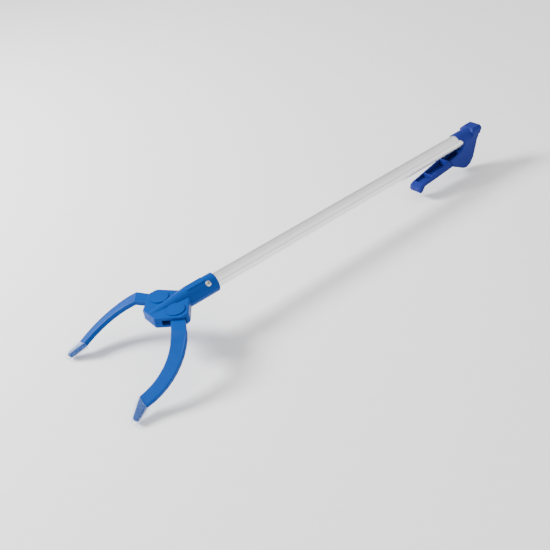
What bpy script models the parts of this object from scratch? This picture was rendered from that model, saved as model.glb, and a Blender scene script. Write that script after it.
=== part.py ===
"""Reacher grabber: a two-jaw head on an aluminium shaft, worked by a squeeze trigger.

Everything is first drawn in the shaft's own frame: x runs along the shaft from the jaws
(negative) to the handle (positive), with x = 0 where the head's socket ends, y across the
jaws and z up. The last step moves the whole tool so that the world origin is the middle of
its footprint, on the surface that it stands on. Driving dimensions are in millimetres.
"""

import math

import bmesh
import bpy
from mathutils import Matrix, Vector

MM = 0.001
GAP = 0.3                       # clearance kept between touching pieces

# Shaft
TUBE_RADIUS = 12.5
TUBE_WALL = 1.2
TUBE_FRONT = -45.0
TUBE_REAR = 568.0
BORE_RADIUS = TUBE_RADIUS + GAP

# Head: plan outline, right half, from the nose round to the socket
HEAD_OUTLINE = [
    (-114.5, 15.5), (-86.0, 43.0), (-76.5, 43.0), (-72.5, 41.6), (-70.4, 39.4), (-52.0, 14.0)]
HEAD_CAVITY = [(-107.0, 17.5), (-104.0, 60.0), (-88.0, 60.0), (-72.5, 31.0), (-56.0, 7.0)]
PLATE_HALF = 8.4                # half the head's height away from the keel
CAVITY_HALF = 4.2
SOCKET_RADIUS = 15.4
KEEL_NOSE_RADIUS = 8.9
BOSS_PLACE = (-81.5, 22.0)
BOSS_RADIUS = 14.0
BOSS_HEIGHT = 1.5
HEAD_SCREWS = [(-110.5, 9.0), (-68.3, 31.0)]

# Jaws
JAW_PIVOT = (-80.0, 22.0)
JAW_HALF = 3.8                  # half the jaws' thickness
HUB_RADIUS = 9.8
PIVOT_RADIUS = 3.0
CREASE_INNER = (-108.8, 49.9)
CREASE_OUTER = (-94.2, 68.5)
DROOP_DEG = 28.0                # how far an arm bends down at its crease
ARM_CENTRE = (-182.5, -6.8)
ARM_RADIUS = 104.5
ARM_START_DEG = 39.2
ARM_SWEEP_DEG = 60.4
ARM_WIDTH_START = 23.5
ARM_WIDTH_END = 18.5
ARM_STEPS = 10
TANG_LENGTH = 28.0
TANG_HEADING_DEG = 24.0         # outward turn of the tip
BOOT_LENGTH = 33.0
BOOT_WALL = 2.4

# Linkage
CRANK_RADIUS = 10.05
CRANK_REST_DEG = 17.2
DRIVE_PIN_RADIUS = 1.8
ROD_RADIUS = 2.5
LINK_X = 546.0                  # where the trigger's fork holds the rod's clevis pin, at rest
YOKE_FLANGE_X = -69.0
SPRING_TURNS = 6
SPRING_RADIUS = 5.2
SPRING_WIRE = 0.55

# Handle, in side view: x and z
HANDLE_HALF = 14.5
HANDLE_INNER_HALF = 12.5
CAP_HALF = 15.2
CAP_TOP = 15.2
CAP_CHAMFER = 5.0
HANDLE_PROFILE = [
    (537.0, 2.5), (575.0, 2.5), (574.0, -1.0), (568.5, -17.0), (560.0, -39.0), (552.5, -48.0),
    (543.0, -52.2), (535.0, -51.0), (509.0, -36.8), (501.0, -21.5), (529.0, -14.5), (537.0, -5.0)]
CAP_PROFILE = [
    (563.5, CAP_TOP), (582.5, CAP_TOP), (582.5, 8.5), (577.5, 0.5), (558.5, 0.5), (558.5, 10.5)]
HANDLE_CAVITY = [
    (496.0, -10.0), (562.0, -10.0), (561.0, -18.0), (557.5, -31.0), (553.0, -38.5),
    (505.0, -39.2), (496.0, -45.0)]
HANDLE_SCREWS = [(572.5, 9.0), (564.6, -17.0), (541.0, -45.0)]
PIVOT = (549.0, -30.0)          # trigger pivot
PIVOT_PIN_RADIUS = 2.5

# Trigger, in side view at rest
TRIGGER_HALF = 12.0
TRIGGER_WALL = 2.4
TRIGGER_UNDERSIDE = [(437.0, -42.5), (509.0, -36.4)]
TRIGGER_PROFILE = [
    (431.0, -37.0), (424.5, -40.0), (423.0, -46.5), (424.5, -50.8), (429.0, -51.6), (432.0, -48.0),
    *TRIGGER_UNDERSIDE, (522.0, -35.5), (545.0, -36.2), (551.0, -36.0), (555.5, -30.0),
    (549.0, -23.0), (520.0, -21.2), (500.0, -23.6), (486.0, -26.0), (442.5, -34.8)]
TRIGGER_POCKETS = [(434.0, 455.5), (458.5, 498.5), (501.5, 538.0)]
FINGER_RIDGES = (-42.3, -45.0, -47.7)
BLADE_HALF = 3.0

SIDES = (("left", -1), ("right", 1))
BLUE = (0.01, 0.12, 0.52, 1.0)
FINISHES = {                     # base colour, metallic, roughness
    "blue_plastic": (BLUE, 0.0, 0.35),
    "aluminium": ((0.78, 0.78, 0.77, 1.0), 1.0, 0.35),
    "steel": ((0.70, 0.70, 0.71, 1.0), 1.0, 0.25),
    "white_nylon": ((0.85, 0.85, 0.82, 1.0), 0.0, 0.5),
    "clear_vinyl": ((0.72, 0.80, 0.90, 0.45), 0.0, 0.2),
}


def clear_scene():
    for obj in list(bpy.data.objects):
        bpy.data.objects.remove(obj)


def new_collection(name):
    collection = bpy.data.collections.new(name)
    bpy.context.scene.collection.children.link(collection)
    return collection


def material(name):
    found = bpy.data.materials.get(name)
    if found:
        return found
    colour, metallic, roughness = FINISHES[name]
    made = bpy.data.materials.new(name)
    made.use_nodes = True
    shader = made.node_tree.nodes["Principled BSDF"]
    shader.inputs["Base Color"].default_value = colour
    shader.inputs["Metallic"].default_value = metallic
    shader.inputs["Roughness"].default_value = roughness
    shader.inputs["Alpha"].default_value = colour[3]
    return made


clear_scene()
PARTS = new_collection("reacher_grabber")
CUTTERS = new_collection("cutters")
ROOT = bpy.data.objects.new("reacher_grabber_root", None)
PARTS.objects.link(ROOT)


def metres(point):
    return Vector(point) * MM


def add_mesh(name, bm, finish=None):
    """Makes an object of a bmesh drawn in millimetres: a part with a finish, or a cutter."""
    bmesh.ops.recalc_face_normals(bm, faces=bm.faces)
    bmesh.ops.transform(bm, matrix=Matrix.Scale(MM, 4), verts=bm.verts)
    mesh = bpy.data.meshes.new(name)
    bm.to_mesh(mesh)
    bm.free()
    obj = bpy.data.objects.new(name, mesh)
    obj.parent = ROOT
    if finish:
        PARTS.objects.link(obj)
        mesh.materials.append(material(finish))
        mesh.shade_smooth()
        mesh.set_sharp_from_angle(angle=math.radians(35))
    else:
        CUTTERS.objects.link(obj)
        obj.hide_render = True
        obj.display_type = "WIRE"
    return obj


def turn_to(axis):
    """The rotation that takes +Z to an axis."""
    return Vector((0, 0, 1)).rotation_difference(Vector(axis)).to_matrix().to_4x4()


def add_cone(bm, start, end, radius_start, radius_end, segments=24):
    start, end = Vector(start), Vector(end)
    place = Matrix.Translation((start + end) / 2) @ turn_to(end - start)
    return bmesh.ops.create_cone(
        bm, cap_ends=True, segments=segments, radius1=radius_start, radius2=radius_end,
        depth=(end - start).length, matrix=place)


def cylinder(name, start, end, radius, finish=None, segments=24, radius_end=None):
    bm = bmesh.new()
    add_cone(bm, start, end, radius, radius if radius_end is None else radius_end, segments)
    return add_mesh(name, bm, finish)


def box(name, low, high, finish=None):
    bm = bmesh.new()
    low, high = Vector(low), Vector(high)
    place = Matrix.Translation((low + high) / 2) @ Matrix.Diagonal((*(high - low), 1))
    bmesh.ops.create_cube(bm, size=1, matrix=place)
    return add_mesh(name, bm, finish)


def prism_mesh(points, low, high, axis="Z"):
    """A flat outline given thickness along z, or along y for a side view's outline."""
    bm = bmesh.new()
    if axis == "Z":
        verts = [bm.verts.new((x, y, low)) for x, y in points]
        push = (0, 0, high - low)
    else:
        verts = [bm.verts.new((x, low, z)) for x, z in points]
        push = (0, high - low, 0)
    face = bm.faces.new(verts)
    grown = bmesh.ops.extrude_face_region(bm, geom=[face])["geom"]
    moved = [v for v in grown if isinstance(v, bmesh.types.BMVert)]
    bmesh.ops.translate(bm, verts=moved, vec=push)
    return bm


def prism(name, points, low, high, finish=None, axis="Z"):
    return add_mesh(name, prism_mesh(points, low, high, axis), finish)


def boolean(obj, tool, operation="DIFFERENCE"):
    modifier = obj.modifiers.new(tool.name, "BOOLEAN")
    modifier.object = tool
    modifier.operation = operation
    modifier.solver = "EXACT"


def soften(obj, width, segments=2):
    """Rounds a moulded piece's sharp edges."""
    modifier = obj.modifiers.new("soften", "BEVEL")
    modifier.width = width * MM
    modifier.segments = segments
    modifier.limit_method = "ANGLE"
    modifier.angle_limit = math.radians(40)


def set_origin(obj, point):
    """Puts an object's origin on its joint's axis without moving its shape."""
    point = metres(point)
    obj.data.transform(Matrix.Translation(-point))
    obj.location = point


def mirrored(points):
    """A half outline with y above 0, closed by its mirror image."""
    return points + [(x, -y) for x, y in reversed(points)]


def arc(centre, radius, start_deg, end_deg, steps):
    angles = [math.radians(start_deg + (end_deg - start_deg) * i / steps) for i in range(steps + 1)]
    return [(centre[0] + radius * math.cos(a), centre[1] + radius * math.sin(a)) for a in angles]


# ---------------------------------------------------------------- head shells

def head_shell(name, side):
    """The upper (side 1) or lower (side -1) half of the head: plate, keel, pivot bosses, socket."""
    shell = prism(name, mirrored(HEAD_OUTLINE), -side * 2.0, side * PLATE_HALF, "blue_plastic")
    soften(shell, 1.2)
    additions = [
        cylinder(f"{name}_keel", (-112.0, 0, 0), (-50.0, 0, 0), KEEL_NOSE_RADIUS, segments=32,
                 radius_end=SOCKET_RADIUS),
        cylinder(f"{name}_socket", (-51.0, 0, 0), (0, 0, 0), SOCKET_RADIUS, segments=40)]
    if side > 0:
        strip = box(f"{name}_strip", (-49.0, -5.8, 9.0), (-18.0, 5.8, SOCKET_RADIUS + 0.25))
        soften(strip, 0.5)
        additions.append(strip)
    for jaw, s in SIDES:
        x, y = BOSS_PLACE
        additions.append(cylinder(
            f"{name}_boss_{jaw}", (x, s * y, side * 5.0),
            (x, s * y, side * (PLATE_HALF + BOSS_HEIGHT)), BOSS_RADIUS, segments=32))
    for tool in additions:
        boolean(shell, tool, "UNION")
    for tool in head_cutters(name, side):
        boolean(shell, tool)
    return shell


def head_cutters(name, side):
    """What is taken out of a head shell: its other half, the jaws' cavity, the bores."""
    tools = [
        box(f"{name}_other_half", (-130, -60, -side * 30), (20, 60, side * GAP / 2)),
        cylinder(f"{name}_tube_bore", (TUBE_FRONT - 2.6, 0, 0), (10, 0, 0), BORE_RADIUS, segments=40),
        cylinder(f"{name}_spring_bore", (-92.0, 0, 0), (TUBE_FRONT - 1.0, 0, 0), 7.4)]
    for jaw, s in SIDES:
        outline = [(x, s * y) for x, y in [(-107.0, -1.0)] + HEAD_CAVITY + [(-56.0, -1.0)]]
        tools.append(prism(f"{name}_cavity_{jaw}", outline, -CAVITY_HALF, CAVITY_HALF))
        x, y = JAW_PIVOT
        tools.append(cylinder(
            f"{name}_pivot_{jaw}", (x, s * y, -7.0), (x, s * y, 7.0), PIVOT_RADIUS + GAP, segments=16))
        for number, (x, y) in enumerate(HEAD_SCREWS):
            tools.append(cylinder(
                f"{name}_screw_{jaw}_{number}", (x, s * y, -12.0), (x, s * y, 6.3),
                1.5 + GAP, segments=12))
            if side < 0:
                tools.append(cylinder(
                    f"{name}_head_{jaw}_{number}", (x, s * y, -12.0), (x, s * y, -5.9),
                    2.5 + GAP, segments=16))
    for number, turn in enumerate(RIVET_TURNS):
        tools.append(cylinder(f"{name}_rivet_{number}", *rivet_line(turn, 11.0, 30.0),
                              RIVET_RADIUS + GAP, segments=16))
    return tools


RIVET_X = -15.5
RIVET_RADIUS = 2.4
RIVET_TURNS = (-45.0, 135.0)     # degrees from the top, towards +y


def rivet_line(turn, near, far):
    """Two points on a rivet's axis, at these distances from the shaft's axis."""
    a = math.radians(turn)
    return [(RIVET_X, r * math.sin(a), r * math.cos(a)) for r in (near, far)]


def rivet(name, turn):
    """A blind rivet: a domed flange on the socket, a sleeve through the shaft's wall."""
    sleeve = cylinder(name, *rivet_line(turn, TUBE_RADIUS - 2.4, SOCKET_RADIUS + 1.2), RIVET_RADIUS,
                      "steel", segments=16)
    flange = cylinder(f"{name}_flange", *rivet_line(turn, SOCKET_RADIUS + GAP, SOCKET_RADIUS + 2.0),
                      4.6, segments=24, radius_end=2.6)
    boolean(sleeve, flange, "UNION")
    mouth = cylinder(f"{name}_mouth", *rivet_line(turn, SOCKET_RADIUS - 1.0, SOCKET_RADIUS + 4.0),
                     1.3, segments=12)
    boolean(sleeve, mouth)
    return sleeve


def head_screw(name, x, y):
    """A countersunk-flat self-tapping screw, driven up from the lower shell."""
    screw = cylinder(name, (x, y, -8.0), (x, y, 5.9), 1.5, "steel", segments=12)
    head = cylinder(f"{name}_cap", (x, y, -8.2), (x, y, -6.3), 2.5, segments=16)
    boolean(screw, head, "UNION")
    for number, turn in enumerate((0, math.pi / 2)):
        bm = bmesh.new()
        place = (Matrix.Translation((x, y, -8.2)) @ Matrix.Rotation(turn, 4, "Z")
                 @ Matrix.Diagonal((3.6, 0.8, 1.6, 1)))
        bmesh.ops.create_cube(bm, size=1, matrix=place)
        boolean(screw, add_mesh(f"{name}_recess_{number}", bm))
    return screw


# ---------------------------------------------------------------- jaws

def arm_edge(offset):
    """One edge of an arm's flat outline: its arc, moved out by half the local width."""
    points = []
    for i in range(ARM_STEPS + 1):
        share = i / ARM_STEPS
        a = math.radians(ARM_START_DEG + ARM_SWEEP_DEG * share)
        half = (ARM_WIDTH_START + (ARM_WIDTH_END - ARM_WIDTH_START) * share) / 2
        r = ARM_RADIUS + offset * half
        points.append((ARM_CENTRE[0] + r * math.cos(a), ARM_CENTRE[1] + r * math.sin(a)))
    return points


def tip_frame():
    """Where an arm ends in its flat outline, and the way its tip points from there."""
    a = math.radians(ARM_START_DEG + ARM_SWEEP_DEG)
    end = Vector((ARM_CENTRE[0] + ARM_RADIUS * math.cos(a), ARM_CENTRE[1] + ARM_RADIUS * math.sin(a)))
    heading = math.radians(180 - TANG_HEADING_DEG)
    return end, Vector((math.cos(heading), math.sin(heading)))


def jaw_outline():
    """A right jaw's flat outline, anticlockwise from above: hub, outer edge, tang, inner edge."""
    heading = math.degrees(math.atan2(
        (CREASE_INNER[1] + CREASE_OUTER[1]) / 2 - JAW_PIVOT[1],
        (CREASE_INNER[0] + CREASE_OUTER[0]) / 2 - JAW_PIVOT[0]))
    hub = arc(JAW_PIVOT, HUB_RADIUS, heading + 90, heading + 270, 10)
    end, along = tip_frame()
    across = Vector((-along.y, along.x))
    tang = [end + along * d + across * w for d, w in (
        (6.6, -6.8), (TANG_LENGTH - 4.0, -4.5), (TANG_LENGTH, -2.5),
        (TANG_LENGTH, 2.5), (TANG_LENGTH - 4.0, 4.5), (3.0, 7.0))]
    return hub + [CREASE_OUTER] + arm_edge(1)[1:] + [tuple(p) for p in tang] \
        + arm_edge(-1)[:0:-1] + [CREASE_INNER]


def droop(bm):
    """Bends what lies beyond the crease down about it."""
    inner, outer = Vector((*CREASE_INNER, 0)), Vector((*CREASE_OUTER, 0))
    axis = (outer - inner).normalized()
    away = axis.cross(Vector((0, 0, 1)))
    if away.x > 0:
        away.negate()
    beyond = [v for v in bm.verts if (v.co - inner).dot(away) > 0.01]
    turn = Matrix.Rotation(math.radians(DROOP_DEG), 3, axis)
    if (turn @ away).z > 0:
        turn.transpose()
    bmesh.ops.rotate(bm, verts=beyond, cent=inner, matrix=turn)
    return away


def crease_cut(bm):
    """Gives the flat jaw an edge all round at its crease, for it to bend at."""
    inner, outer = Vector((*CREASE_INNER, 0)), Vector((*CREASE_OUTER, 0))
    normal = (outer - inner).cross(Vector((0, 0, 1)))
    bmesh.ops.bisect_plane(
        bm, geom=bm.verts[:] + bm.edges[:] + bm.faces[:], dist=0.01, plane_co=inner, plane_no=normal)


def flip_side(bm, s):
    if s < 0:
        bmesh.ops.scale(bm, vec=(1, -1, 1), verts=bm.verts)
        bmesh.ops.reverse_faces(bm, faces=bm.faces)


def drive_pin_place(s):
    a = math.radians(CRANK_REST_DEG)
    return (JAW_PIVOT[0] - CRANK_RADIUS * math.sin(a), s * (JAW_PIVOT[1] - CRANK_RADIUS * math.cos(a)))


def jaw(side, s):
    """A moulded jaw: hub and crank lobe of half thickness, root strip, drooping curved arm, tang."""
    bm = prism_mesh(jaw_outline(), -JAW_HALF, JAW_HALF)
    crease_cut(bm)
    droop(bm)
    flip_side(bm, s)
    body = add_mesh(f"jaw_{side}", bm, "blue_plastic")
    soften(body, 1.2)
    x, y = JAW_PIVOT[0], s * JAW_PIVOT[1]
    px, py = drive_pin_place(s)
    lobe = cylinder(f"jaw_{side}_lobe", (px, py, -JAW_HALF), (px, py, JAW_HALF - 1), 5.0)
    boolean(body, lobe, "UNION")
    # The hub and lobe are cut to half height, to leave room for the yoke above them.
    heading = Vector((CREASE_INNER[0] + CREASE_OUTER[0], CREASE_INNER[1] + CREASE_OUTER[1])) / 2
    along = (heading - Vector(JAW_PIVOT)).normalized()
    across = Vector((-along.y, along.x))
    corners = [along * d + across * w + Vector(JAW_PIVOT) for d, w in (
        (8, -20), (8, 20), (-30, 20), (-30, -20))]
    half = prism(f"jaw_{side}_half_lap", [(p.x, s * p.y) for p in corners], -0.2, 10.0)
    boolean(body, half)
    boolean(body, cylinder(f"jaw_{side}_bore", (x, y, -9), (x, y, 9), PIVOT_RADIUS + GAP, segments=20))
    bm = bmesh.new()
    towards = Vector((x - px, y - py)).normalized()
    place = Matrix.Translation((px, py, 0)) @ turn_to((0, 0, 1)) \
        @ Matrix.Rotation(math.atan2(towards.y, towards.x), 4, "Z") @ Matrix.Diagonal((1.3, 1, 1, 1))
    bmesh.ops.create_cone(bm, cap_ends=True, segments=20, radius1=DRIVE_PIN_RADIUS + GAP,
                          radius2=DRIVE_PIN_RADIUS + GAP, depth=20, matrix=place)
    boolean(body, add_mesh(f"jaw_{side}_slot", bm))
    set_origin(body, (x, y, 0))
    return body


def boot_sections(grow):
    """Half widths and half heights of a tip boot along its length, grown by a wall."""
    return [(d, w + grow, h + grow) for d, w, h in (
        (0.0, 8.0, 4.6), (10.0, 7.4, 4.4), (20.0, 6.0, 4.2), (TANG_LENGTH + 0.5, 4.2, 4.1))]


def loft_box(bm, sections, chamfer):
    """Joins eight-sided sections, which stand across the tip's line, into a closed solid.

    The first one leans to stand along the arm's square end.
    """
    skew = math.tan(math.radians(ARM_START_DEG + ARM_SWEEP_DEG - 90 + TANG_HEADING_DEG))
    end, along = tip_frame()
    across = Vector((-along.y, along.x))
    loops = []
    for d, w, h in sections:
        c = min(chamfer, w * 0.5, h * 0.5)
        ring = [(w, h - c), (w - c, h), (c - w, h), (-w, h - c), (-w, c - h), (c - w, -h), (w - c, -h), (w, c - h)]
        loop = []
        for a, z in ring:
            p = end + along * (d - (0 if loops else skew * a)) + across * a
            loop.append(bm.verts.new((p.x, p.y, z)))
        loops.append(loop)
    for first, second in zip(loops, loops[1:]):
        for i in range(8):
            bm.faces.new((first[i], first[i - 1], second[i - 1], second[i]))
    bm.faces.new(loops[0])
    bm.faces.new(loops[-1][::-1])


def boot(side, s):
    """A soft clear boot over a jaw's tang, open where the arm enters."""
    bm = bmesh.new()
    outer = boot_sections(BOOT_WALL - 0.4)
    outer = [(0.8, *outer[0][1:])] + outer[1:-1] + [(BOOT_LENGTH - 3.0, 5.2, 5.6), (BOOT_LENGTH, 3.2, 3.6)]
    loft_box(bm, outer, 2.4)
    droop(bm)
    flip_side(bm, s)
    body = add_mesh(f"tip_boot_{side}", bm, "clear_vinyl")
    bm = bmesh.new()
    loft_box(bm, [(-4.0, 8.5, 4.7)] + boot_sections(0.1)[1:], 0.8)
    droop(bm)
    flip_side(bm, s)
    hollow = add_mesh(f"tip_boot_{side}_hollow", bm)
    boolean(body, hollow)
    set_origin(body, (JAW_PIVOT[0], s * JAW_PIVOT[1], 0))
    return body


# ---------------------------------------------------------------- linkage

def yoke():
    """The T-shaped bar that pulls both jaws' cranks, with the boss that the rod screws into."""
    px, py = drive_pin_place(1)
    bar = box("pull_yoke", (px - 3.6, -py - 3.6, 0.2), (px + 3.6, py + 3.6, JAW_HALF), "white_nylon")
    stem = box("yoke_stem", (px, -3.6, -3.2), (YOKE_FLANGE_X - 1.5, 3.6, JAW_HALF - 0.4))
    flange = cylinder("yoke_flange", (YOKE_FLANGE_X - 4.0, 0, 0), (YOKE_FLANGE_X, 0, 0), 6.4)
    boolean(bar, stem, "UNION")
    boolean(bar, flange, "UNION")
    boolean(bar, cylinder("yoke_rod_bore", (YOKE_FLANGE_X - 9.0, 0, 0), (0, 0, 0), ROD_RADIUS + GAP))
    for side, s in SIDES:
        x, y = drive_pin_place(s)
        boolean(bar, cylinder(f"yoke_bore_{side}", (x, y, -5), (x, y, 9), DRIVE_PIN_RADIUS + GAP, segments=16))
    return bar


def spring():
    """The return spring, between the yoke's flange and the guide bush in the shaft's end."""
    start, end = YOKE_FLANGE_X + 0.9, TUBE_FRONT - 2.9
    curve = bpy.data.curves.new("return_spring", "CURVE")
    curve.dimensions = "3D"
    curve.bevel_depth = SPRING_WIRE * MM
    curve.bevel_resolution = 1
    curve.use_fill_caps = True
    line = curve.splines.new("POLY")
    per_turn = 14
    count = SPRING_TURNS * per_turn
    line.points.add(count)
    for i, point in enumerate(line.points):
        a = 2 * math.pi * i / per_turn
        x = start + (end - start) * i / count
        point.co = (x * MM, SPRING_RADIUS * MM * math.cos(a), SPRING_RADIUS * MM * math.sin(a), 1)
    curve.materials.append(material("steel"))
    obj = bpy.data.objects.new("return_spring", curve)
    obj.parent = ROOT
    PARTS.objects.link(obj)
    return obj


def shaft():
    """The aluminium shaft, with a slot near its rear end for the trigger's blade."""
    tube = cylinder("shaft_tube", (TUBE_FRONT, 0, 0), (TUBE_REAR, 0, 0), TUBE_RADIUS, "aluminium", 40)
    bore = cylinder("tube_bore", (TUBE_FRONT - 9, 0, 0), (TUBE_REAR + 9, 0, 0), TUBE_RADIUS - TUBE_WALL,
                    segments=40)
    boolean(tube, bore)
    boolean(tube, box("tube_slot", (539.5, -4.2, -20.0), (558.5, 4.2, -5.0)))
    for number, turn in enumerate(RIVET_TURNS):
        hole = cylinder(f"tube_rivet_hole_{number}", *rivet_line(turn, 8.0, 20.0), RIVET_RADIUS + GAP,
                        segments=16)
        boolean(tube, hole)
    return tube


def guide_bush():
    """The plug in the shaft's front end, which guides the rod and seats the spring."""
    front = TUBE_FRONT - 2.3
    bush = cylinder("rod_guide_bush", (front, 0, 0), (TUBE_FRONT - GAP, 0, 0), TUBE_RADIUS - 0.6,
                    "white_nylon")
    spigot = cylinder("bush_spigot", (front + 0.5, 0, 0), (TUBE_FRONT + 14.0, 0, 0),
                      TUBE_RADIUS - TUBE_WALL - GAP)
    boolean(bush, spigot, "UNION")
    boolean(bush, cylinder("bush_bore", (front - 5, 0, 0), (0, 0, 0), ROD_RADIUS + GAP))
    return bush


def clevis():
    """The forked end of the pull rod, round the trigger's blade."""
    fork = box("rod_clevis", (LINK_X - 16.0, -6.0, -5.0), (LINK_X + 5.5, 6.0, 5.0), "white_nylon")
    boolean(fork, box("clevis_gap", (LINK_X - 9.0, -BLADE_HALF - 0.5, -9), (LINK_X + 9, BLADE_HALF + 0.5, 9)))
    boolean(fork, cylinder("clevis_rod_bore", (LINK_X - 25, 0, 0), (LINK_X - 10.5, 0, 0), ROD_RADIUS + GAP))
    boolean(fork, cylinder("clevis_pin_bore", (LINK_X, -9, 0), (LINK_X, 9, 0), 2.0 + GAP, segments=16))
    return fork


# ---------------------------------------------------------------- handle

def handle_shell(side, s):
    """One half of the handle's clamshell: sleeve and cap round the shaft, cheek, pivot socket."""
    name = f"handle_shell_{side}"
    low, high = sorted((-s * 2.0, s * HANDLE_HALF))
    shell = prism(name, HANDLE_PROFILE, low, high, "blue_plastic", axis="Y")
    soften(shell, 1.8)
    additions = [
        cylinder(f"{name}_sleeve", (527.5, 0, 0), (575.0, 0, 0), BORE_RADIUS + 1.3, segments=48),
        prism(f"{name}_cap", CAP_PROFILE, -CAP_HALF, CAP_HALF, axis="Y")]
    tools = [
        prism(f"{name}_mouth", [
            (520, 7.5), (531, 7.5), (537, -1.0), (537, -5.0), (529, -14.5), (520, -16.75)], -20, 20, axis="Y"),
        box(f"{name}_other_half", (480, -s * 30, -70), (600, s * GAP / 2, 40)),
        prism(f"{name}_cavity", HANDLE_CAVITY, -HANDLE_INNER_HALF, HANDLE_INNER_HALF, axis="Y"),
        cylinder(f"{name}_tube_bore", (480, 0, 0), (TUBE_REAR + GAP, 0, 0), BORE_RADIUS, segments=40)]
    for number, (x, z) in enumerate(HANDLE_SCREWS):
        tools.append(cylinder(f"{name}_screw_{number}", (x, -10.5, z), (x, 20, z), 1.3 + GAP, segments=12))
        if s > 0:
            tools.append(cylinder(f"{name}_recess_{number}", (x, 10.3, z), (x, 20, z), 2.5 + GAP,
                                  segments=16))
    tools.append(cylinder(f"{name}_pivot", (PIVOT[0], -13.7, PIVOT[1]), (PIVOT[0], 13.7, PIVOT[1]),
                          PIVOT_PIN_RADIUS + GAP, segments=20))
    soften(additions[1], 1.1)
    boolean(additions[1], cap_chamfer(f"{name}_chamfer", s))
    for tool in additions:
        boolean(shell, tool, "UNION")
    for tool in tools:
        boolean(shell, tool)
    return shell


def cap_chamfer(name, side):
    """Takes one long top edge off the cap."""
    bm = bmesh.new()
    reach = 10.0
    on_slope = Vector((570.0, side * (CAP_HALF - CAP_CHAMFER / 2), CAP_TOP - CAP_CHAMFER / 2))
    out = Vector((0, side, 1)).normalized()
    place = (Matrix.Translation(on_slope + out * reach) @ Matrix.Rotation(math.pi / 4, 4, "X")
             @ Matrix.Diagonal((60.0, 2 * reach, 2 * reach, 1)))
    bmesh.ops.create_cube(bm, size=1, matrix=place)
    return add_mesh(name, bm)


def handle_screw(number, x, z):
    name = f"handle_screw_{number + 1}"
    screw = cylinder(name, (x, -10.0, z), (x, 11.5, z), 1.3, "steel", segments=12)
    boolean(screw, cylinder(f"{name}_cap", (x, 10.7, z), (x, 12.6, z), 2.5, segments=16), "UNION")
    boolean(screw, box(f"{name}_slot", (x - 1.8, 11.8, z - 0.4), (x + 1.8, 14, z + 0.4)))
    return screw


def trigger():
    """The squeeze lever: a ribbed channel with a finger lip, and a forked blade up into the shaft."""
    lever = prism("trigger", TRIGGER_PROFILE, -TRIGGER_HALF, TRIGGER_HALF, "blue_plastic", axis="Y")
    soften(lever, 0.9)
    inner = TRIGGER_HALF - TRIGGER_WALL
    for number, (front, rear) in enumerate(TRIGGER_POCKETS):
        floor = [(x, lever_floor(x)) for x in (front, rear)]
        outline = [(front, 0), *floor, (rear, 0)]
        boolean(lever, prism(f"trigger_pocket_{number}", outline, -inner, inner, axis="Y"))
    for number, z in enumerate(FINGER_RIDGES):
        ridge = cylinder(f"trigger_ridge_{number}", (423.9, -8.5, z), (423.9, 8.5, z), 0.9, segments=12)
        boolean(lever, ridge, "UNION")
    rest = math.asin((PIVOT[0] - LINK_X) / -PIVOT[1])
    lean = math.tan(rest)
    top = 4.5 - PIVOT[1]
    blade = [(PIVOT[0] - 5, PIVOT[1] - 2), (PIVOT[0] + 5, PIVOT[1] - 2),
             (PIVOT[0] + 5 - lean * top, PIVOT[1] + top), (PIVOT[0] - 5 - lean * top, PIVOT[1] + top)]
    boolean(lever, prism("trigger_blade", blade, -BLADE_HALF, BLADE_HALF, axis="Y"), "UNION")
    notch = [(LINK_X + a + lean * b, -b) for a, b in ((-2.4, 3.5), (2.4, 3.5), (2.4, -12), (-2.4, -12))]
    boolean(lever, prism("trigger_notch", notch, -9, 9, axis="Y"))
    boolean(lever, cylinder("trigger_bore", (PIVOT[0], -20, PIVOT[1]), (PIVOT[0], 20, PIVOT[1]),
                            PIVOT_PIN_RADIUS + GAP, segments=20))
    set_origin(lever, (PIVOT[0], 0, PIVOT[1]))
    return lever


def lever_floor(x):
    """Height of the floor inside the trigger's channel: a wall above its underside."""
    (low_x, low_z), (high_x, high_z) = TRIGGER_UNDERSIDE
    return low_z + (high_z - low_z) * (x - low_x) / (high_x - low_x) + TRIGGER_WALL


# ---------------------------------------------------------------- assembly

def build():
    head_shell("head_upper_shell", 1)
    head_shell("head_lower_shell", -1)
    rivet("socket_rivet_upper", RIVET_TURNS[0])
    rivet("socket_rivet_lower", RIVET_TURNS[1])
    for side, s in SIDES:
        jaw(side, s)
        boot(side, s)
        x, y = JAW_PIVOT[0], s * JAW_PIVOT[1]
        cylinder(f"jaw_pivot_{side}", (x, y, -6.7), (x, y, 6.7), PIVOT_RADIUS, "steel", segments=20)
        px, py = drive_pin_place(s)
        cylinder(f"drive_pin_{side}", (px, py, -JAW_HALF + 0.2), (px, py, JAW_HALF - 0.1),
                 DRIVE_PIN_RADIUS, "steel", segments=16)
        for number, (sx, sy) in enumerate(HEAD_SCREWS):
            head_screw(f"head_screw_{side}_{number + 1}", sx, s * sy)
    yoke()
    spring()
    shaft()
    guide_bush()
    cylinder("pull_rod", (YOKE_FLANGE_X - 8.7, 0, 0), (LINK_X - 10.8, 0, 0), ROD_RADIUS, "steel", 16)
    clevis()
    cylinder("clevis_pin", (LINK_X, -5.8, 0), (LINK_X, 5.8, 0), 2.0, "steel", segments=16)
    for side, s in SIDES:
        handle_shell(side, s)
    trigger()
    cylinder("trigger_pivot_pin", (PIVOT[0], -13.5, PIVOT[1]), (PIVOT[0], 13.5, PIVOT[1]),
             PIVOT_PIN_RADIUS, "steel", segments=20)
    for number, (x, z) in enumerate(HANDLE_SCREWS):
        handle_screw(number, x, z)


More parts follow.
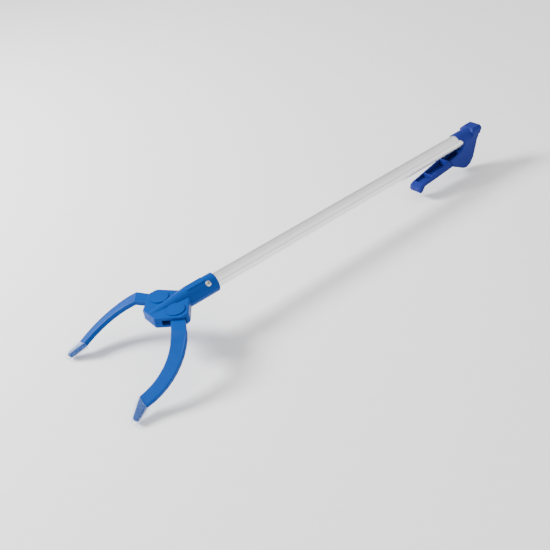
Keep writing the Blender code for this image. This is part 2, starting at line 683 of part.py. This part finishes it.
def stand_on_origin():
    """Moves the tool so that the origin is the middle of its footprint, on its lowest point."""
    bpy.context.view_layer.update()
    graph = bpy.context.evaluated_depsgraph_get()
    corners = []
    for obj in PARTS.objects:
        if obj.type == "MESH":
            evaluated = obj.evaluated_get(graph)
            corners += [evaluated.matrix_world @ v.co for v in evaluated.data.vertices]
    low = [min(c[k] for c in corners) for k in range(3)]
    high = [max(c[k] for c in corners) for k in range(3)]
    ROOT.location = (-(low[0] + high[0]) / 2, -(low[1] + high[1]) / 2, -low[2])


build()
stand_on_origin()
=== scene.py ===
"""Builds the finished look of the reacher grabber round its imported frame."""

import math

import bmesh
import bpy
from mathutils import Matrix, Vector


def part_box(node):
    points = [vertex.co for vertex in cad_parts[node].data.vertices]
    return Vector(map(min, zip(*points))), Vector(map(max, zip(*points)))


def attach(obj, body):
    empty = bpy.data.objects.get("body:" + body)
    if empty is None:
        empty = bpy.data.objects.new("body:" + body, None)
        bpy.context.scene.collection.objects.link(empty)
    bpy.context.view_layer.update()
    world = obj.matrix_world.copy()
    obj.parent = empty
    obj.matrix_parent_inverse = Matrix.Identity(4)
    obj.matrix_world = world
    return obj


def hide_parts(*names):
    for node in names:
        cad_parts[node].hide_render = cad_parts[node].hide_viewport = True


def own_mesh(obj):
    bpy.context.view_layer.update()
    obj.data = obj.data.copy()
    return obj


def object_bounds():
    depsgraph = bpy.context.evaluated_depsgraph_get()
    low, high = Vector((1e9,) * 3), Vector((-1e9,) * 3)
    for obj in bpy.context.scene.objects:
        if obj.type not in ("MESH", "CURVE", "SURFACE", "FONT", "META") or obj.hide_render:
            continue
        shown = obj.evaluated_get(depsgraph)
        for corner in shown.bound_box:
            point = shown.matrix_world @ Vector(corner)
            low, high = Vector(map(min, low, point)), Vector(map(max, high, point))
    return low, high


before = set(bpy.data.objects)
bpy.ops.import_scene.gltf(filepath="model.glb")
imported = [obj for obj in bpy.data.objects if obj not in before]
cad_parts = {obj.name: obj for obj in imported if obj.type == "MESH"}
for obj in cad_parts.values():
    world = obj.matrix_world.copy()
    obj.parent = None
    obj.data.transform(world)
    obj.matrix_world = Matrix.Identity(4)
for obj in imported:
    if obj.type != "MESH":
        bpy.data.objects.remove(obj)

bl_info = {
    "name": "Reacher Grabber",
    "version": (1, 0, 0),
    "blender": (4, 5, 0),
    "location": "View3D > Sidebar > Reacher",
    "description": "Builds a reacher grabber's finished pieces, materials and studio",
    "category": "Object",
}

CAD_BOX = [list(corner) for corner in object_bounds()]
MM = 0.001
MERGE_DISTANCE = 0.01 * MM

# Rivet stem, broken off down inside the flange's mouth, coloured near-black as painted shade of the
# mouth's bore
STEM_RADIUS = 1.2 * MM
STEM_TAPER = 0.8                # its end's radius, as a share of its foot's
STEM_LENGTH = 0.9 * MM
STEM_DEPTH = 15.2 * MM          # from the shaft's axis
STEM_ROUNDING = 0.1 * MM
SHARP_EDGE = 1.0                # radians; the stem's ends are rounded past this

# Return spring: a wire wound round the rod, with a closed turn at each end
SPRING_WIRE = 0.55 * MM
SPRING_RADIUS = 5.2 * MM
CLOSED_PITCH = 1.2 * MM
OPEN_TURNS = 5
STEPS_PER_TURN = 32

# Right jaw's tip, drawn flat, before its arm bends down at the crease; in millimetres
CREASE = (Vector((-108.8, 49.9, 0)), Vector((-94.2, 68.5, 0)))
DROOP = math.radians(28.0)
TONGUE_ROOT = Vector((-199.93, 96.23, 0))
TONGUE_HEADING = math.radians(156.0)
TONGUE_TOP = 3.8

# Grip ribs across a tongue, in millimetres
RIB_FIRST = 7.5                 # from the tongue's root
RIB_SPAN = 16.5                 # from the first rib to the last
RIB_WIDTH = 11.0                # of the first, and they narrow towards the tip
RIB_NARROWING = 3.6
RIB_THICKNESS = 1.5
RIB_HEIGHT = 0.75
RIB_SUNK = 0.15
RIB_ROUNDING = 0.3

# Camera, from the socket's end, in millimetres, and its own axes
VIEW_PLACE = (-456.72, -886.32, 685.49)
VIEW_RIGHT = (0.77025, -0.61854, -0.15533)
VIEW_UP = (0.46194, 0.37319, 0.80457)
VIEW_BACK = (-0.43969, -0.69147, 0.57318)
VIEW_REACH = 50.0

# Studio, in metres and watts: place, size and power of each light
KEY_LIGHT = ((-1.3, 1.5, 1.5), 0.9, 125)
FILL_LIGHT = ((0.9, -1.5, 1.3), 1.6, 3)
SKY_TOWARDS = (0, -0.45, 0.7)   # where the sky is brightest: above and in front
SKY_SLOPE = (-0.35, 0.6)        # where it starts and stops brightening
SKY_STRENGTH = (0.32, 1.15)     # its light there
FLOOR_REACH = 25.0
FLOOR_GAP = 0.0002              # keeps the floor from sharing a plane with the tips


# ---------------------------------------------------------------- where things are

def middle(node):
    low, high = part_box(node)
    return (Vector(low) + Vector(high)) / 2


SHAFT_AXIS = middle("shaft_tube")
SOCKET_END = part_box("head_upper_shell")[1][0]
SIDES = (("left", -1), ("right", 1))


def at(x, y, z):
    """A place from the socket's end on the shaft's axis, in millimetres."""
    return Vector((SOCKET_END + x * MM, SHAFT_AXIS.y + y * MM, SHAFT_AXIS.z + z * MM))


# ---------------------------------------------------------------- settings

class PlasticSettings(bpy.types.PropertyGroup):
    colour: bpy.props.FloatVectorProperty(
        name="Plastic colour", description="Colour of the moulded head, jaws and handle",
        subtype="COLOR", size=4, min=0, max=1, default=(0.0, 0.052, 0.275, 1.0))
    # Painted shade: the handle and trigger get a darker copy of the head's plastic, standing for
    # the shade they lie in, not a deeper batch.
    handle_shaded_colour: bpy.props.FloatVectorProperty(
        name="Handle colour", description="Colour of the handle and trigger, from a deeper batch",
        subtype="COLOR", size=4, min=0, max=1, default=(0.013, 0.024, 0.19, 1.0))
    roughness: bpy.props.FloatProperty(
        name="Plastic roughness", description="How matt the moulded plastic is",
        subtype="FACTOR", min=0, max=1, default=0.38)


class ShaftSettings(bpy.types.PropertyGroup):
    colour: bpy.props.FloatVectorProperty(
        name="Aluminium colour", description="Colour of the anodised shaft",
        subtype="COLOR", size=4, min=0, max=1, default=(0.96, 0.96, 0.955, 1.0))
    roughness: bpy.props.FloatProperty(
        name="Aluminium roughness", description="How satin the shaft's finish is",
        subtype="FACTOR", min=0, max=1, default=0.27)


class TipSettings(bpy.types.PropertyGroup):
    colour: bpy.props.FloatVectorProperty(
        name="Vinyl colour", description="Tint of the soft clear tips",
        subtype="COLOR", size=4, min=0, max=1, default=(0.64, 0.75, 0.89, 1.0))
    rib_count: bpy.props.IntProperty(
        name="Tongue ribs", description="Grip ribs on the tongue inside each tip", min=2, max=9,
        default=5)


class StudioSettings(bpy.types.PropertyGroup):
    lens: bpy.props.FloatProperty(
        name="Lens", description="Focal length of the camera", unit="CAMERA", min=10, default=53.42)
    floor_drop: bpy.props.FloatProperty(
        name="Floor drop", description="How far below the tips the floor lies",
        unit="LENGTH", min=0, default=0.0)


# ---------------------------------------------------------------- materials

class Nodes:
    """A short way to add nodes to a material and join them."""

    def __init__(self, name):
        self.material = bpy.data.materials.new(name)
        self.material.use_nodes = True
        self.tree = self.material.node_tree
        self.shader = self.tree.nodes["Principled BSDF"]
        self.place = self.add("ShaderNodeTexCoord").outputs["Object"]

    def add(self, kind, **values):
        node = self.tree.nodes.new(kind)
        for name, value in values.items():
            setattr(node, name, value)
        return node

    def join(self, source, target):
        self.tree.links.new(source, target)

    def mapping(self, scale):
        node = self.add("ShaderNodeMapping")
        node.inputs["Scale"].default_value = scale
        self.join(self.place, node.inputs["Vector"])
        return node.outputs["Vector"]

    def noise(self, scale, detail=3.0, roughness=0.5, vector=None):
        node = self.add("ShaderNodeTexNoise")
        node.inputs["Scale"].default_value = scale
        node.inputs["Detail"].default_value = detail
        node.inputs["Roughness"].default_value = roughness
        self.join(vector or self.place, node.inputs["Vector"])
        return node.outputs["Fac"]

    def between(self, factor, low, high, low_value, high_value):
        """Maps a factor's range to a range of values."""
        node = self.add("ShaderNodeMapRange")
        for name, value in (("From Min", low), ("From Max", high), ("To Min", low_value),
                            ("To Max", high_value)):
            node.inputs[name].default_value = value
        self.join(factor, node.inputs["Value"])
        return node.outputs["Result"]

    def ramp(self, factor, stops):
        node = self.add("ShaderNodeValToRGB")
        ramp = node.color_ramp
        while len(ramp.elements) < len(stops):
            ramp.elements.new(0.5)
        for element, (position, colour) in zip(ramp.elements, stops):
            element.position = position
            element.color = colour
        self.join(factor, node.inputs["Fac"])
        return node.outputs["Color"]

    def bump(self, height, strength, distance, under=None):
        node = self.add("ShaderNodeBump")
        node.inputs["Strength"].default_value = strength
        node.inputs["Distance"].default_value = distance
        self.join(height, node.inputs["Height"])
        if under:
            self.join(under, node.inputs["Normal"])
        return node.outputs["Normal"]

    def set(self, **values):
        for name, value in values.items():
            self.shader.inputs[name.replace("_", " ")].default_value = value


def tint(colour, gain):
    return (*(min(1.0, c * gain) for c in colour[:3]), 1.0)


def plastic_material(name, colour, roughness):
    """Injection-moulded plastic: faint flow mottling, a fine grained skin and handling scuffs."""
    nodes = Nodes(name)
    flow = nodes.noise(18.0, 4.0, 0.55)
    nodes.join(nodes.ramp(flow, [(0.3, tint(colour, 0.93)), (0.7, tint(colour, 1.06))]),
               nodes.shader.inputs["Base Color"])
    scuffs = nodes.noise(260.0, 5.0, 0.6)
    nodes.join(nodes.between(scuffs, 0.35, 0.7, roughness - 0.05, roughness + 0.10),
               nodes.shader.inputs["Roughness"])
    skin = nodes.noise(2600.0, 2.0, 0.5)
    waves = nodes.noise(70.0, 2.0, 0.4)
    fine = nodes.bump(skin, 0.10, 0.00006)
    nodes.join(nodes.bump(waves, 0.12, 0.0004, fine), nodes.shader.inputs["Normal"])
    nodes.set(Specular_IOR_Level=0.07)
    return nodes.material


def aluminium_material(settings):
    """Clear-anodised tube: long drawing lines along the shaft over a satin skin."""
    nodes = Nodes("brushed_aluminium")
    lines = nodes.noise(1.0, 5.0, 0.65, nodes.mapping((2.5, 1500.0, 1500.0)))
    cloud = nodes.noise(14.0, 3.0, 0.5)
    colour, roughness = settings.colour, settings.roughness
    nodes.join(nodes.ramp(cloud, [(0.3, tint(colour, 0.95)), (0.7, tint(colour, 1.03))]),
               nodes.shader.inputs["Base Color"])
    nodes.join(nodes.between(lines, 0.3, 0.7, roughness - 0.07, roughness + 0.08),
               nodes.shader.inputs["Roughness"])
    nodes.join(nodes.bump(lines, 0.18, 0.00005), nodes.shader.inputs["Normal"])
    nodes.set(Metallic=0.85)
    return nodes.material


def steel_material(name, roughness, tone):
    """Plated steel: fine turning marks and a few darker specks."""
    nodes = Nodes(name)
    specks = nodes.noise(900.0, 4.0, 0.6)
    colour = (tone, tone, tone * 1.01, 1.0)
    nodes.join(nodes.ramp(specks, [(0.35, tint(colour, 0.82)), (0.6, colour)]),
               nodes.shader.inputs["Base Color"])
    nodes.join(nodes.between(specks, 0.3, 0.7, roughness, roughness + 0.12),
               nodes.shader.inputs["Roughness"])
    nodes.join(nodes.bump(specks, 0.08, 0.00004), nodes.shader.inputs["Normal"])
    nodes.set(Metallic=1.0)
    return nodes.material


def nylon_material():
    """Natural nylon: a milky body with a faint mottle."""
    nodes = Nodes("natural_nylon")
    cloud = nodes.noise(120.0, 3.0, 0.5)
    nodes.join(nodes.ramp(cloud, [(0.3, (0.74, 0.73, 0.68, 1)), (0.7, (0.84, 0.83, 0.79, 1))]),
               nodes.shader.inputs["Base Color"])
    nodes.join(nodes.bump(cloud, 0.1, 0.0001), nodes.shader.inputs["Normal"])
    nodes.set(Roughness=0.45, Subsurface_Weight=0.1, Subsurface_Scale=0.002)
    return nodes.material


def vinyl_material(colour):
    """Soft clear vinyl: slightly milky, with uneven clarity and a wavy, dimpled skin."""
    nodes = Nodes("clear_vinyl")
    cloud = nodes.noise(160.0, 3.0, 0.5)
    nodes.join(nodes.ramp(cloud, [(0.3, tint(colour, 0.9)), (0.7, tint(colour, 1.06))]),
               nodes.shader.inputs["Base Color"])
    nodes.join(nodes.between(cloud, 0.3, 0.7, 0.10, 0.24), nodes.shader.inputs["Roughness"])
    ripple = nodes.noise(230.0, 2.0, 0.5)
    nodes.join(nodes.bump(ripple, 0.35, 0.0006), nodes.shader.inputs["Normal"])
    rim = nodes.add("ShaderNodeLayerWeight")
    rim.inputs["Blend"].default_value = 0.35
    nodes.join(nodes.between(rim.outputs["Facing"], 0.25, 0.95, 0.04, 0.8),
               nodes.shader.inputs["Alpha"])
    nodes.set(IOR=1.45, Coat_Weight=0.15, Coat_Roughness=0.08)
    return nodes.material


def floor_material():
    nodes = Nodes("studio_paper")
    fibre = nodes.noise(55.0, 4.0, 0.6)
    nodes.join(nodes.ramp(fibre, [(0.3, (0.93, 0.93, 0.93, 1)), (0.7, (0.955, 0.955, 0.955, 1))]),
               nodes.shader.inputs["Base Color"])
    nodes.set(Roughness=0.9, Specular_IOR_Level=0.1)
    return nodes.material


# ---------------------------------------------------------------- pieces

def dress(node, material):
    """Gives a carried-over node its finished material."""
    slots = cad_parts[node].material_slots
    for entry in slots:
        entry.material = material
    if not slots:
        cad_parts[node].data.materials.append(material)


def finish_piece(name, bm, material, body):
    """Makes a piece of a bmesh that is already in place, and lets it ride on its body."""
    bmesh.ops.remove_doubles(bm, verts=bm.verts, dist=MERGE_DISTANCE)
    bmesh.ops.recalc_face_normals(bm, faces=bm.faces)
    mesh = bpy.data.meshes.new(name)
    bm.to_mesh(mesh)
    bm.free()
    mesh.shade_smooth()
    mesh.set_sharp_from_angle(angle=math.radians(35))
    mesh.materials.append(material)
    obj = bpy.data.objects.new(name, mesh)
    bpy.context.scene.collection.objects.link(obj)
    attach(obj, body)
    return obj


def report_built(operator, count):
    operator.report({"INFO"}, f"{count} pieces built")
    return {"FINISHED"}


class ReacherPlastic(bpy.types.Operator):
    """Finishes the moulded head, jaws, handle and trigger"""
    bl_idname = "reacher.plastic"
    bl_label = "Moulded plastic"

    def execute(self, context):
        settings = context.scene.reacher_plastic
        blue = plastic_material("azure_plastic", settings.colour, settings.roughness)
        # The handle and trigger take the darker copy of the plastic as painted shade.
        shaded_blue = plastic_material("shaded_blue_plastic", settings.handle_shaded_colour, settings.roughness)
        for name in ("head_upper_shell", "head_lower_shell", "jaw_left", "jaw_right"):
            dress(name, blue)
        for name in ("handle_shell_left", "handle_shell_right", "trigger"):
            dress(name, shaded_blue)
        return report_built(self, 7)


def rivet_shade_stem(node):
    """The broken end of a blind rivet's stem, down inside its flange's mouth, which is made
    near-black as the bore's painted shade.
    """
    low, high = (Vector(corner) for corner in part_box(node))
    centre = (low + high) / 2
    on_axis = Vector((centre.x, SHAFT_AXIS.y, SHAFT_AXIS.z))
    axis = (centre - on_axis).normalized()
    turn = Vector((0, 0, 1)).rotation_difference(axis).to_matrix().to_4x4()
    bm = bmesh.new()
    foot = on_axis + axis * STEM_DEPTH
    bmesh.ops.create_cone(
        bm, cap_ends=True, segments=20, radius1=STEM_RADIUS, radius2=STEM_RADIUS * STEM_TAPER,
        depth=STEM_LENGTH, matrix=Matrix.Translation(foot) @ turn)
    rim = [edge for edge in bm.edges
           if edge.is_manifold and edge.calc_face_angle() > SHARP_EDGE]
    bmesh.ops.bevel(bm, geom=rim, offset=STEM_ROUNDING, offset_type="OFFSET", segments=2,
                    profile=0.5, affect="EDGES", material=-1)
    return bm


def wind(bm, ring, turns, pitch):
    """Carries a ring of wire on round the shaft's axis, and returns the ring that it ends on."""
    steps = turns * STEPS_PER_TURN
    made = bmesh.ops.spin(
        bm, geom=ring, cent=SHAFT_AXIS, axis=(1, 0, 0), dvec=(pitch / STEPS_PER_TURN, 0, 0),
        angle=2 * math.pi * turns, steps=steps, use_merge=False, use_normal_flip=False)
    return made["geom_last"]


def return_spring():
    low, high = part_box("return_spring")
    start, length = low[0] + SPRING_WIRE, high[0] - low[0] - 2 * SPRING_WIRE
    bm = bmesh.new()
    first = Vector((start, SHAFT_AXIS.y + SPRING_RADIUS, SHAFT_AXIS.z))
    made = bmesh.ops.create_circle(bm, cap_ends=False, segments=10, radius=SPRING_WIRE,
                                   matrix=Matrix.Translation(first))
    ring = made["verts"] + list({edge for vert in made["verts"] for edge in vert.link_edges})
    ring = wind(bm, ring, 1, CLOSED_PITCH)
    ring = wind(bm, ring, OPEN_TURNS, (length - 2 * CLOSED_PITCH) / OPEN_TURNS)
    wind(bm, ring, 1, CLOSED_PITCH)
    bmesh.ops.holes_fill(bm, edges=[edge for edge in bm.edges if edge.is_boundary], sides=0)
    return bm


class ReacherMetal(bpy.types.Operator):
    """Finishes the shaft, the rod, the pins, screws and spring, and puts a near-black stem in each
    rivet's mouth as painted shade of its bore
    """
    bl_idname = "reacher.metal"
    bl_label = "Shaft and metal"

    def execute(self, context):
        dress("shaft_tube", aluminium_material(context.scene.reacher_shaft))
        zinc = steel_material("zinc_plate", 0.32, 0.62)
        bright = steel_material("bright_rivet", 0.16, 0.50)
        # The stems' near-black steel is painted shade of the rivets' bores.
        bore_shade = steel_material("bore_shade_stem", 0.5, 0.05)
        nylon = nylon_material()
        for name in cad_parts:
            if "rivet" in name:
                dress(name, bright)
                stem = name.replace("rivet", "rivet_shade_stem")
                finish_piece(stem, rivet_shade_stem(name), bore_shade, "body")
            elif any(word in name for word in ("screw", "pin", "pivot", "rod", "spring")):
                dress(name, zinc)
        for name in ("pull_yoke", "rod_guide_bush", "rod_clevis"):
            dress(name, nylon)
        spring = finish_piece("coil_spring", return_spring(), zinc, "body")
        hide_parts("return_spring")
        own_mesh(spring)
        return report_built(self, len(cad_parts))


def tip_turn():
    """Takes a point along (x), across (y) and above (z) the right tongue to its place."""
    inner, outer = CREASE
    axis = (outer - inner).normalized()
    droop = Matrix.Rotation(DROOP, 4, axis)
    beyond = TONGUE_ROOT - inner
    if (droop @ beyond).z > 0:
        droop = Matrix.Rotation(-DROOP, 4, axis)
    bend = Matrix.Translation(inner) @ droop @ Matrix.Translation(-inner)
    return bend @ Matrix.Translation(TONGUE_ROOT) @ Matrix.Rotation(TONGUE_HEADING, 4, "Z")


def place_tip(bm, side):
    """Moves a shape drawn in the right tongue's own frame to either jaw's tip."""
    bmesh.ops.transform(bm, matrix=tip_turn(), verts=bm.verts)
    if side < 0:
        bmesh.ops.scale(bm, vec=(1, -1, 1), verts=bm.verts)
        bmesh.ops.reverse_faces(bm, faces=bm.faces)
    to_metres = Matrix.Translation(at(0, 0, 0)) @ Matrix.Scale(MM, 4)
    bmesh.ops.transform(bm, matrix=to_metres, verts=bm.verts)


def tongue_ribs(side, count):
    """The grip ribs across the top and the underside of a jaw's tongue."""
    bm = bmesh.new()
    for face in (1, -1):
        for number in range(count):
            share = number / (count - 1)
            width = RIB_WIDTH - RIB_NARROWING * share
            place = Matrix.Translation((
                RIB_FIRST + RIB_SPAN * share, 0,
                face * (TONGUE_TOP + RIB_HEIGHT / 2 - RIB_SUNK)))
            size = Matrix.Diagonal((RIB_THICKNESS, width, RIB_HEIGHT + 2 * RIB_SUNK, 1))
            made = bmesh.ops.create_cube(bm, size=1, matrix=place @ size)
            edges = {edge for vert in made["verts"] for edge in vert.link_edges}
            bmesh.ops.bevel(bm, geom=list(edges), offset=RIB_ROUNDING, offset_type="OFFSET",
                            segments=2, profile=0.5, affect="EDGES", material=-1)
    place_tip(bm, side)
    return bm


class ReacherTips(bpy.types.Operator):
    """Finishes the soft clear tips, and adds the grip ribs on the tongues inside them"""
    bl_idname = "reacher.tips"
    bl_label = "Tips"

    def execute(self, context):
        vinyl = vinyl_material(context.scene.reacher_tips.colour)
        for side, sign in SIDES:
            dress(f"tip_boot_{side}", vinyl)
            ribs = tongue_ribs(sign, context.scene.reacher_tips.rib_count)
            finish_piece(f"tongue_ribs_{side}", ribs, bpy.data.materials["azure_plastic"],
                         f"{side}_jaw")
        return report_built(self, 4)


# ---------------------------------------------------------------- stage

def add_camera(settings):
    data = bpy.data.cameras.new("camera")
    data.lens = settings.lens
    data.clip_end = VIEW_REACH
    camera = bpy.data.objects.new("camera", data)
    bpy.context.scene.collection.objects.link(camera)
    turn = Matrix((VIEW_RIGHT, VIEW_UP, VIEW_BACK)).transposed()
    turn = turn.to_quaternion().to_matrix().to_4x4()
    camera.matrix_world = Matrix.Translation(at(*VIEW_PLACE)) @ turn
    bpy.context.scene.camera = camera


def add_light(name, place, size, power):
    """A round light that faces the origin."""
    data = bpy.data.lights.new(name, "AREA")
    data.shape = "DISK"
    data.size = size
    data.energy = power
    light = bpy.data.objects.new(name, data)
    bpy.context.scene.collection.objects.link(light)
    light.location = place
    light.rotation_euler = (-Vector(place)).to_track_quat("-Z", "Y").to_euler()


def add_floor(settings):
    bm = bmesh.new()
    bmesh.ops.create_grid(bm, x_segments=8, y_segments=8, size=FLOOR_REACH)
    height = CAD_BOX[0][2] - settings.floor_drop - FLOOR_GAP
    bmesh.ops.translate(bm, verts=bm.verts, vec=(0, 0, height))
    mesh = bpy.data.meshes.new("studio_floor")
    bm.to_mesh(mesh)
    bm.free()
    mesh.materials.append(floor_material())
    floor = bpy.data.objects.new("studio_floor", mesh)
    bpy.context.scene.collection.objects.link(floor)


def studio_world():
    """Soft white light from above and in front, falling off behind the object."""
    world = bpy.data.worlds.new("studio")
    world.use_nodes = True
    tree = world.node_tree
    background = tree.nodes["Background"]
    background.inputs["Color"].default_value = (1, 1, 1, 1)
    place = tree.nodes.new("ShaderNodeTexCoord")
    slope = tree.nodes.new("ShaderNodeVectorMath")
    slope.operation = "DOT_PRODUCT"
    slope.inputs[1].default_value = SKY_TOWARDS
    fade = tree.nodes.new("ShaderNodeMapRange")
    for name, value in zip(("From Min", "From Max", "To Min", "To Max"), SKY_SLOPE + SKY_STRENGTH):
        fade.inputs[name].default_value = value
    tree.links.new(place.outputs["Generated"], slope.inputs[0])
    tree.links.new(slope.outputs["Value"], fade.inputs["Value"])
    tree.links.new(fade.outputs["Result"], background.inputs["Strength"])
    return world


class ReacherStudio(bpy.types.Operator):
    """Adds the floor, the lights and the camera"""
    bl_idname = "reacher.studio"
    bl_label = "Studio"

    def execute(self, context):
        settings = context.scene.reacher_studio
        add_camera(settings)
        add_floor(settings)
        context.scene.world = studio_world()
        add_light("key", *KEY_LIGHT)
        add_light("fill", *FILL_LIGHT)
        return {"FINISHED"}


# ---------------------------------------------------------------- panel and main

OPERATORS = (ReacherPlastic, ReacherMetal, ReacherTips, ReacherStudio)
SETTINGS = {"reacher_plastic": PlasticSettings, "reacher_shaft": ShaftSettings,
            "reacher_tips": TipSettings, "reacher_studio": StudioSettings}


class ReacherPanel(bpy.types.Panel):
    """Lists the reacher's pieces and their settings"""
    bl_idname = "VIEW3D_PT_reacher"
    bl_label = "Reacher grabber"
    bl_space_type = "VIEW_3D"
    bl_region_type = "UI"
    bl_category = "Reacher"

    def draw(self, context):
        for name, group in SETTINGS.items():
            box = self.layout.box()
            settings = getattr(context.scene, name)
            for field in group.__annotations__:
                box.prop(settings, field)
        for operator in OPERATORS:
            self.layout.operator(operator.bl_idname)


def register():
    for entry in (*SETTINGS.values(), *OPERATORS, ReacherPanel):
        bpy.utils.register_class(entry)
    for name, group in SETTINGS.items():
        setattr(bpy.types.Scene, name, bpy.props.PointerProperty(type=group))


def unregister():
    for name in SETTINGS:
        delattr(bpy.types.Scene, name)
    for entry in (ReacherPanel, *reversed(OPERATORS), *reversed(tuple(SETTINGS.values()))):
        bpy.utils.unregister_class(entry)


def main():
    register()
    for operator in OPERATORS:
        _, name = operator.bl_idname.split(".")
        getattr(bpy.ops.reacher, name)()


if __name__ == "__main__":
    main()
